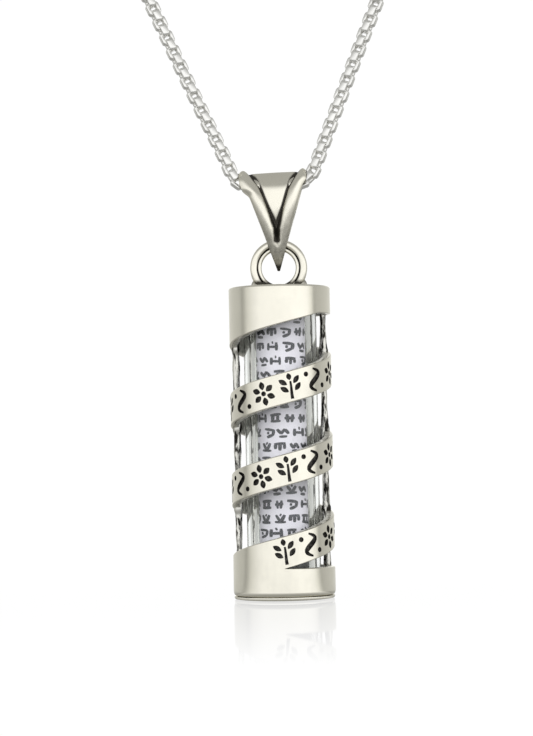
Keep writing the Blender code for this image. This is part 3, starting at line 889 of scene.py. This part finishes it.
# Strokes (start x and y, end x and y) of made-up marks, each in a unit square.
INK_MARKS = (
    ((0.05, 0.80, 0.95, 0.84), (0.08, 0.20, 0.92, 0.16), (0.25, 0.20, 0.28, 0.80), (0.66, 0.20, 0.70, 0.80)),
    ((0.05, 0.85, 0.35, 0.35), (0.35, 0.35, 0.62, 0.85), (0.62, 0.85, 0.92, 0.35), (0.20, 0.10, 0.80, 0.10)),
    ((0.05, 0.78, 0.95, 0.78), (0.15, 0.30, 0.17, 0.75), (0.50, 0.15, 0.52, 0.75), (0.86, 0.30, 0.86, 0.75)),
    ((0.10, 0.50, 0.90, 0.55), (0.30, 0.90, 0.36, 0.10), (0.66, 0.10, 0.74, 0.90)),
    ((0.05, 0.20, 0.95, 0.22), (0.15, 0.90, 0.50, 0.25), (0.86, 0.90, 0.55, 0.25), (0.45, 0.92, 0.60, 0.90)),
    ((0.10, 0.88, 0.90, 0.82), (0.90, 0.82, 0.82, 0.30), (0.82, 0.30, 0.30, 0.12), (0.30, 0.50, 0.50, 0.55)),
    ((0.10, 0.15, 0.12, 0.85), (0.12, 0.50, 0.88, 0.45), (0.90, 0.12, 0.88, 0.90), (0.45, 0.90, 0.60, 0.90)),
)


def ink_mark(dice):
    """Start, end and thickness of the strokes of one mark."""
    tilt = dice.uniform(-0.10, 0.10)
    mark = dice.choice(INK_MARKS)
    return [((x0, y0), (x1, y1 + tilt), dice.uniform(0.25, 0.33)) for x0, y0, x1, y1 in mark]


def make_ink(material):
    """Rows of short ink strokes that lie on the scroll's outer turn."""
    dice = random.Random(SEED)
    strokes = []
    height = SCROLL_HIGH - 1.3
    while height - INK_HEIGHT > SCROLL_LOW + 0.6:
        azimuth = -150.0 + dice.uniform(0.0, 8.0)
        while azimuth < 190.0:
            width = dice.uniform(0.95, 1.30)
            for start, end, thickness in ink_mark(dice):
                strokes.append(ink_stroke(azimuth, height, width, start, end, thickness))
            azimuth += math.degrees((width + dice.choice((0.14, 0.18, 0.34))) / SCROLL_RADIUS)
        height -= INK_ROW_STEP
    ink = add_mesh("scroll_ink", *join_lofts(strokes), material, 60.0)
    return finish_piece(ink, "case", "paper")


def ink_stroke(azimuth, top, width, start, end, thickness):
    """One stroke as a thin raised bar that follows the curve of the scroll."""
    rise = 0.014
    direction = Vector((end[0] - start[0], end[1] - start[1]))
    normal = Vector((-direction.y, direction.x)).normalized()
    sections = []
    for step in range(6):
        t = step / 5.0
        half = thickness / 2.0 * (1.0 - 0.35 * abs(2.0 * t - 1.0) ** 2)
        section = []
        for side, lift in ((-1.0, -0.01), (-1.0, rise), (1.0, rise), (1.0, -0.01)):
            u = start[0] + direction.x * t + normal.x * half * side
            v = start[1] + direction.y * t + normal.y * half * side
            at = azimuth + math.degrees(u * width / SCROLL_RADIUS)
            section.append(around_case(at, scroll_radius_at(at) + lift, top - INK_HEIGHT * (1.0 - v)))
        sections.append(section)
    return loft(sections, closed=False)


# ---------------- loop and bail

def flat_wire(centre, half_width, half_depth, start, end):
    """Section (radius, depth) of a wire that is flattened towards its faces."""
    points = []
    for step in range(25):
        angle = math.radians(start + (end - start) * step / 24)
        across, rise = math.cos(angle), math.sin(angle)
        points.append((centre + math.copysign(half_width * abs(across) ** 0.8, across),
                       math.copysign(half_depth * abs(rise) ** 0.7, rise)))
    return points


LOOP_THICK_WIRE = 0.385           # half the widths of its two wires
LOOP_THIN_WIRE = 0.225


def make_loop(material):
    """Ring of a thick and a thin wire side by side, cut flat where it is soldered to the case."""
    profile = flat_wire(LOOP_OUTER - LOOP_THICK_WIRE, LOOP_THICK_WIRE, LOOP_HALF_THICKNESS, -144, 144)
    profile += flat_wire(LOOP_INNER + LOOP_THIN_WIRE, LOOP_THIN_WIRE, 0.8 * LOOP_HALF_THICKNESS, 36, 324)
    groove = LOOP_INNER + 2.0 * LOOP_THIN_WIRE - 0.04
    sections = []
    blackness = []
    for step in range(160):
        angle = 2.0 * math.pi * step / 160
        for radius, depth in profile:
            foot = 1.3 - (LOOP_CENTRE + radius * math.sin(angle) - CASE_TOP) / 0.7
            blackness.append(max(1.25 - abs(radius - groove) / 0.11, foot, 0.0))
        sections.append([place(radius * math.cos(angle), depth, LOOP_CENTRE + radius * math.sin(angle))
                         for radius, depth in profile])
    loop = add_mesh("wire_loop", *loft(sections, closed=True), material, 60.0)
    blacken(loop, blackness)
    foot = [[place(x, y, z) for x, y in ((-4.0, -2.0), (4.0, -2.0), (4.0, 2.0), (-4.0, 2.0))]
            for z in (CASE_TOP - 3.0, CASE_TOP + 0.03)]
    cut_away(loop, add_mesh("foot_tool", *loft(foot, closed=False), material))
    settle_shading(loop, 50.0)
    return finish_piece(loop, "case", "silver", "hanger_loop")


# Lumps of solder at each foot of the loop: distance from the middle, and radius.
SOLDER_LUMPS = ((1.98, 0.52), (2.28, 0.48), (1.66, 0.42))
SOLDER_TALLNESS = 1.75
SOLDER_BLACKNESS = 0.42


def make_solder(material):
    """Uneven solder round the loop's feet."""
    dice = random.Random(SEED + 1)
    lumps = []
    for side in (-1.0, 1.0):
        for centre_x, radius in SOLDER_LUMPS:
            lumps.append(solder_lump(side * centre_x, dice.uniform(-0.1, 0.1), radius, dice))
    solder = add_mesh("loop_solder", *join_lofts(lumps), material, 80.0)
    blacken(solder, [SOLDER_BLACKNESS] * len(solder.data.vertices))
    return finish_piece(solder, "case", "silver")


def solder_lump(x, y, radius, dice):
    """Uneven dome on the case's top plate."""
    phase = dice.uniform(0.0, 6.0)
    tall = radius * SOLDER_TALLNESS
    points = [place(x, y, CASE_TOP - 0.05), place(x, y, CASE_TOP + 0.05 + tall)]
    levels = 6
    steps = 20
    for level in range(levels):
        lift = math.radians(90.0 * level / levels)
        for step in range(steps):
            angle = 2.0 * math.pi * step / steps
            reach = radius * math.cos(lift) * (1.0 + 0.12 * math.sin(3.0 * angle + phase))
            points.append(place(x + reach * math.cos(angle), y + 0.8 * reach * math.sin(angle),
                                CASE_TOP - 0.02 + tall * math.sin(lift)))
    return points, globe_faces(levels, steps)


def smooth_step(value):
    """Smooth rise from 0 to 1 for a value between 0 and 1, level outside."""
    value = min(max(value, 0.0), 1.0)
    return value * value * (3.0 - 2.0 * value)


def bail_half_width(height, side):
    """Half the bail's width at a height above its tip: a straight taper with an ear at its mouth."""
    taper = 0.12 + 0.32 * min(max(height, 0.0), 9.0)
    if side < 0.0:
        return taper + 0.46 * smooth_step((height - 7.5) / 0.8)
    return taper + 0.22 * smooth_step((height - 8.3) / 1.0)


def groove_spread(height):
    """Half the distance between the two grooves on the bail's face at a height above its tip."""
    return max(0.33 * (height - 4.1), 0.0) + 0.13 * max(height - 7.9, 0.0) ** 2


def groove_depth(x, height):
    """How far into a groove a point of the bail's face is, from 0 to 1."""
    width = 0.15 + 0.19 * smooth_step((6.4 - height) / 2.2) + 0.13 * smooth_step((height - 8.0) / 1.2)
    start = min(max((height - 2.55) / 0.35, 0.0), 1.0)
    return start * math.exp(-((abs(x) - groove_spread(height)) / width) ** 2)


def bail_relief(x, height, width):
    """Height of the bail's face above its base surface: two convex leaves and a sunk panel."""
    spread = groove_spread(height)
    fade = min(max((height - 2.3) / 1.2, 0.0), 1.0)
    plain = 0.22 * (1.0 - (x / width) ** 2) - 0.08
    if abs(x) >= spread:
        share = (2.0 * abs(x) - spread - width) / (width - spread)
        leaf = 0.40 * min(1.0, (width - spread) / 0.9) * (1.0 - share ** 2) - 0.30
    else:
        leaf = -0.34 + 0.05 * (1.0 - (x / spread) ** 2) + 0.12 * smooth_step((height - 7.0) / 1.5)
    return plain * (1.0 - fade) + leaf * fade - 0.09 * groove_depth(x, height)


def bail_blackness(x, height, share):
    """Blackness on the bail's face: oxide in the grooves and darker beside them, and painted shade at the
    tip, along the lower rims and fading up from the tip.
    """
    beside_groove = 0.30 + 0.20 * smooth_step((height - 7.8) / 0.8)
    beside_groove *= math.exp(-(abs(abs(x) - groove_spread(height)) / 0.34) ** 2)
    # Painted shade: the lower rims darken towards the tip.
    rim = 0.55 * smooth_step((abs(share) - 0.80) / 0.2) * smooth_step((3.6 - height) / 1.2)
    # The terms 0.95 - height / 1.5 and 0.50 - 0.055 * height are painted shade, darkest at the tip and fading
    # upwards.
    return max(1.3 * groove_depth(x, height), beside_groove, 0.95 - height / 1.5, 0.50 - 0.055 * height, rim)


def bail_profiles():
    """Matching outer and inner side profiles (depth, height) once round the bail."""
    inner_centre = BAIL_TOP - BAIL_TOP_OUTER
    inner_radius = BAIL_TOP_OUTER - BAIL_METAL - 0.08
    outer_front = []
    inner_front = []
    for step in range(30):
        angle = math.radians(-90.0 + 90.0 * step / 30)
        inner_front.append((BAIL_SEAT_RADIUS * math.cos(angle),
                            BAIL_SEAT_HEIGHT + BAIL_SEAT_RADIUS * math.sin(angle)))
        outer_front.append(teardrop(BAIL_TIP + (BAIL_SEAT_HEIGHT - BAIL_TIP) * step / 30))
    for step in range(60):
        share = step / 60.0
        height = BAIL_SEAT_HEIGHT + (inner_centre - BAIL_SEAT_HEIGHT) * share
        inner_front.append((BAIL_SEAT_RADIUS + (inner_radius - BAIL_SEAT_RADIUS) * share, height))
        outer_front.append(teardrop(BAIL_SEAT_HEIGHT + (BAIL_SHOULDER - BAIL_SEAT_HEIGHT) * share))
    outer_arc = [(BAIL_TOP_OUTER * across, BAIL_SHOULDER + (BAIL_TOP - BAIL_SHOULDER) * rise)
                 for across, rise in arc((0.0, 0.0), 1.0, 0.0, 180.0, 60)]
    inner_arc = arc((0.0, inner_centre), inner_radius, 0.0, 180.0, 60)
    outer = outer_front + outer_arc + [(-depth, height) for depth, height in reversed(outer_front[1:])]
    inner = inner_front + inner_arc + [(-depth, height) for depth, height in reversed(inner_front[1:])]
    return outer, inner


def teardrop(height):
    """Outer surface (depth, height) of the bail from its tip to its shoulder."""
    share = (height - BAIL_TIP) / (BAIL_SHOULDER - BAIL_TIP)
    return BAIL_TOP_OUTER * math.sin(math.pi / 2.0 * share) ** 0.75, height


def profile_normals(profile):
    """Outward directions of a closed side profile that runs front, top, back."""
    normals = []
    for index, point in enumerate(profile):
        before = profile[index - 1]
        after = profile[(index + 1) % len(profile)]
        along = Vector((after[0] - before[0], after[1] - before[1])).normalized()
        normals.append(Vector((along.y, -along.x)))
    return normals


INSIDE_BLACKNESS = 0.25
BAIL_SEAT_CURVE = 3.1             # how wide the round is by which the seat falls to both sides, like the loop
BAIL_SEAT_REACH = 1.8             # height above the tip where that starts to fade
MOUTH_START = 7.6                 # height above the tip where the mouth begins to flare


def make_bail(material):
    """Folded strip with a relief on its face, flared mouths and tips joined under the wire."""
    outer, inner = bail_profiles()
    normals = profile_normals(outer)
    across_steps = 72
    sections = []
    blackness = []
    for (depth, height), (inner_depth, inner_height), normal in zip(outer, inner, normals):
        above_tip = height - BAIL_TIP
        mouth = min(max((above_tip - MOUTH_START) / 1.6, 0.0), 1.0)
        section = []
        for step in range(across_steps + 1):
            share = -1.0 + 2.0 * step / across_steps
            width = bail_half_width(above_tip, share)
            x = width * share
            lift = bail_relief(x, above_tip, width) * min(above_tip / 0.8, 1.0)
            lift += 0.16 * mouth * abs(share) ** 5
            section.append(lean(x, -(depth + normal.x * lift), height + normal.y * lift))
            blackness.append(bail_blackness(x, above_tip, share))
        for step in range(across_steps + 1):
            share = 1.0 - 2.0 * step / across_steps
            inner_above_tip = inner_height - BAIL_TIP
            width = min(bail_half_width(inner_above_tip, share), bail_half_width(above_tip, share) + 0.3)
            x = (width - 0.06) * share
            lift = 0.14 * mouth * abs(share) ** 5
            seat = 0.0
            if abs(inner_depth) < 0.6:
                seat = x * x / BAIL_SEAT_CURVE * max(0.0, 1.0 - (inner_above_tip - BAIL_SEAT_REACH) / 0.6)
            section.append(lean(x, -(inner_depth + normal.x * lift), inner_height + normal.y * lift - seat))
            blackness.append(INSIDE_BLACKNESS)
        sections.append(section)
    bail = add_mesh("folded_bail", *loft(sections, closed=True), material, 60.0)
    blacken(bail, blackness)
    return finish_piece(bail, "bail", "silver", "bail")


def lean(x, y, z):
    """Bail point tipped sideways about the loop's centre."""
    turn = math.radians(-BAIL_LEAN)
    rise = z - LOOP_CENTRE
    return place(x * math.cos(turn) + rise * math.sin(turn), y,
                 LOOP_CENTRE - x * math.sin(turn) + rise * math.cos(turn))


# ---------------- end fittings

def refined_copy(node, name, body, slot, material, edge):
    """Copy of a CAD node with rounded edges, in its place."""
    item = add_object(name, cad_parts[node].data.copy())
    welded = bmesh.new()
    welded.from_mesh(item.data)
    bmesh.ops.remove_doubles(welded, verts=welded.verts, dist=0.000002)
    bmesh.ops.dissolve_limit(welded, angle_limit=math.radians(4.0), verts=welded.verts, edges=welded.edges)
    welded.to_mesh(item.data)
    welded.free()
    item.data.materials.clear()
    item.data.materials.append(material)
    item.data.shade_smooth()
    bevel = item.modifiers.new("edges", "BEVEL")
    bevel.width = edge * MM
    bevel.segments = 3
    bevel.limit_method = "ANGLE"
    bevel.angle_limit = math.radians(40.0)
    apply_modifiers(item)
    settle_shading(item, 50.0)
    return finish_piece(item, body, slot, node)


def repaint(node, material):
    """Give a CAD node a better material."""
    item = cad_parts[node]
    item.data.materials.clear()
    item.data.materials.append(material)
    return item


# CAD node, name of its detailed copy, the body it rides on and how far its edges are rounded.
ROUNDED_FITTINGS = (
    ("clasp_end_cap", "clasp_side_cap", "chain", 0.09),
    ("ring_end_cap", "ring_side_cap", "chain", 0.09),
    ("clasp_body", "clasp_shell", "chain", 0.22),
    ("clasp_lever", "clasp_gate", "gate", 0.10),
    ("clasp_pin", "clasp_rivet", "chain", 0.06),
)


def make_fittings(silver, steel):
    """End caps, rings and clasp, with rounded edges."""
    pieces = [refined_copy(node, name, body, "chain_silver", silver, edge)
              for node, name, body, edge in ROUNDED_FITTINGS]
    pieces += [repaint(node, silver) for node in ("clasp_jump_ring", "catch_ring")]
    pieces.append(repaint("clasp_spring", steel))
    return pieces


# ---------------- stage and light

TENT_STRENGTH = 1.2
BACKDROP_STRENGTH = 1.02
FLOOR_SIZE = 900.0                # half its side
MIRROR_SHARE = 0.34               # how much of a mirror the floor is beside the case
MIRROR_REACH = 32.0               # gone where it is this much farther from the origin than straight below

# Brightness of the surroundings by azimuth in degrees from the camera's side towards +X.
SURROUNDINGS = (
    (-180.0, 1.20), (-172.0, 1.20), (-160.0, 0.70), (-130.0, 0.58), (-100.0, 0.50),
    (-92.0, 0.33), (-84.0, 0.52), (-78.0, 0.70), (-57.0, 0.92), (-46.0, 1.03),
    (0.0, 1.08), (46.0, 1.15), (66.0, 1.10), (78.0, 0.86), (86.0, 0.36),
    (92.0, 0.48), (130.0, 0.58), (160.0, 0.70), (172.0, 1.20), (180.0, 1.20),
)


def make_floor():
    """Pale glossy floor whose mirror fades away from the case; other surfaces see it darker from above."""
    look = Shading("floor_white")
    look.tree.nodes.remove(look.shader)
    backdrop = look.glow("ShaderNodeEmission", (1.0, 1.0, 1.0), BACKDROP_STRENGTH)
    mirror = look.node("ShaderNodeBsdfGlossy")
    mirror.inputs["Roughness"].default_value = 0.035
    apart = look.node("ShaderNodeVectorMath", operation="LENGTH")
    look.feed(apart.inputs[0], look.coordinates)
    reach = look.math("SUBTRACT", apart.outputs["Value"], abs(GROUND) * MM)
    mirrored = look.spread(reach, 0.0, MIRROR_REACH * MM, MIRROR_SHARE, 0.0)
    seen = look.choose(mirrored, backdrop, mirror.outputs["BSDF"])
    grazing = look.node("ShaderNodeFresnel")
    grazing.inputs["IOR"].default_value = 1.5
    around, _ = brightness_around(look, look.coordinates)
    bounce = look.mix(look.spread(grazing.outputs["Fac"], 0.04, 0.7), (0.25, 0.25, 0.24), around)
    camera_ray = look.node("ShaderNodeLightPath").outputs["Is Camera Ray"]
    blend = look.choose(camera_ray, look.glow("ShaderNodeEmission", bounce, TENT_STRENGTH), seen)
    look.feed(look.output.inputs["Surface"], blend)
    corners = [place(x * FLOOR_SIZE, y * FLOOR_SIZE, -0.02) for x, y in ((-1, -1), (1, -1), (1, 1), (-1, 1))]
    mesh = bpy.data.meshes.new("floor")
    mesh.from_pydata([tuple(corner) for corner in corners], [], [(0, 1, 2, 3)])
    mesh.materials.append(look.material)
    floor = add_object("floor", mesh)


def brightness_around(look, direction):
    """Brightness of the surroundings in the direction of a vector, as a colour, and the vector's Z."""
    x, y, z = look.split(direction)
    azimuth = look.math("ARCTAN2", x, look.math("MULTIPLY", y, -1.0))
    ramp = look.node("ShaderNodeValToRGB")
    elements = ramp.color_ramp.elements
    while len(elements) < len(SURROUNDINGS):
        elements.new(0.5)
    for element, (degrees, value) in zip(elements, SURROUNDINGS):
        level = value / TENT_STRENGTH
        element.position = (degrees + 180.0) / 360.0
        element.color = (level, level, level * (1.0 if value > 0.9 else 0.965), 1.0)
    look.feed(ramp.inputs["Fac"], look.spread(azimuth, -math.pi, math.pi))
    return ramp.outputs["Color"], z


def make_world():
    """White seen directly; in reflections a bright tent in front and greyer sides and top."""
    world = bpy.data.worlds.new("studio")
    world.use_nodes = True
    bpy.context.scene.world = world
    world.node_tree.nodes.clear()
    look = NodeTree(world.node_tree, "Generated")
    around, upwards = brightness_around(look, look.coordinates)
    tent = look.mix(look.spread(upwards, 0.32, 0.60), around, (0.35, 0.35, 0.34))
    backdrop = look.glow("ShaderNodeBackground", (1.0, 1.0, 1.0), BACKDROP_STRENGTH)
    camera_ray = look.node("ShaderNodeLightPath").outputs["Is Camera Ray"]
    choice = look.choose(camera_ray, look.glow("ShaderNodeBackground", tent, TENT_STRENGTH), backdrop)
    look.feed(look.node("ShaderNodeOutputWorld").inputs["Surface"], choice)


def make_light():
    """Large soft light above the camera; it fills matt surfaces and shows in no reflection."""
    data = bpy.data.lights.new("softbox", "AREA")
    data.shape = "RECTANGLE"
    data.size = 0.35
    data.size_y = 0.30
    data.energy = 1.1
    light = add_object("softbox", data)
    light.location = place(40.0, -260.0, 160.0)
    direction = place(0.0, 0.0, 20.0) - light.location
    light.rotation_euler = direction.to_track_quat("-Z", "Y").to_euler()
    light.visible_glossy = False
    light.visible_transmission = False


# ---------------- build

make_camera()
make_world()
make_floor()
make_light()
bpy.context.scene.view_settings.view_transform = "Standard"

silver_look = silver_material("pendant_silver", SILVER, 0.17, 0.45, 1.0).material
chain_look = silver_material("bright_silver", BRIGHT_SILVER, 0.28, 0.20, 0.05).material
oxide_look = oxide_material()

chain, chain_path, chain_length = make_chain(chain_look)
fittings = make_fittings(chain_look, steel_material())

make_case(case_material(), oxide_look)
make_struts(strut_material())
make_plug(silver_material("disc_silver", SILVER, 0.2, 0.3, 0.1).material)
make_glass(glass_material())
make_scroll(paper_material())
make_ink(ink_material())
make_loop(silver_look)
make_solder(silver_look)
make_bail(silver_look)
for seal in ("lower_seal", "upper_seal"):
    repaint(seal, seal_material())
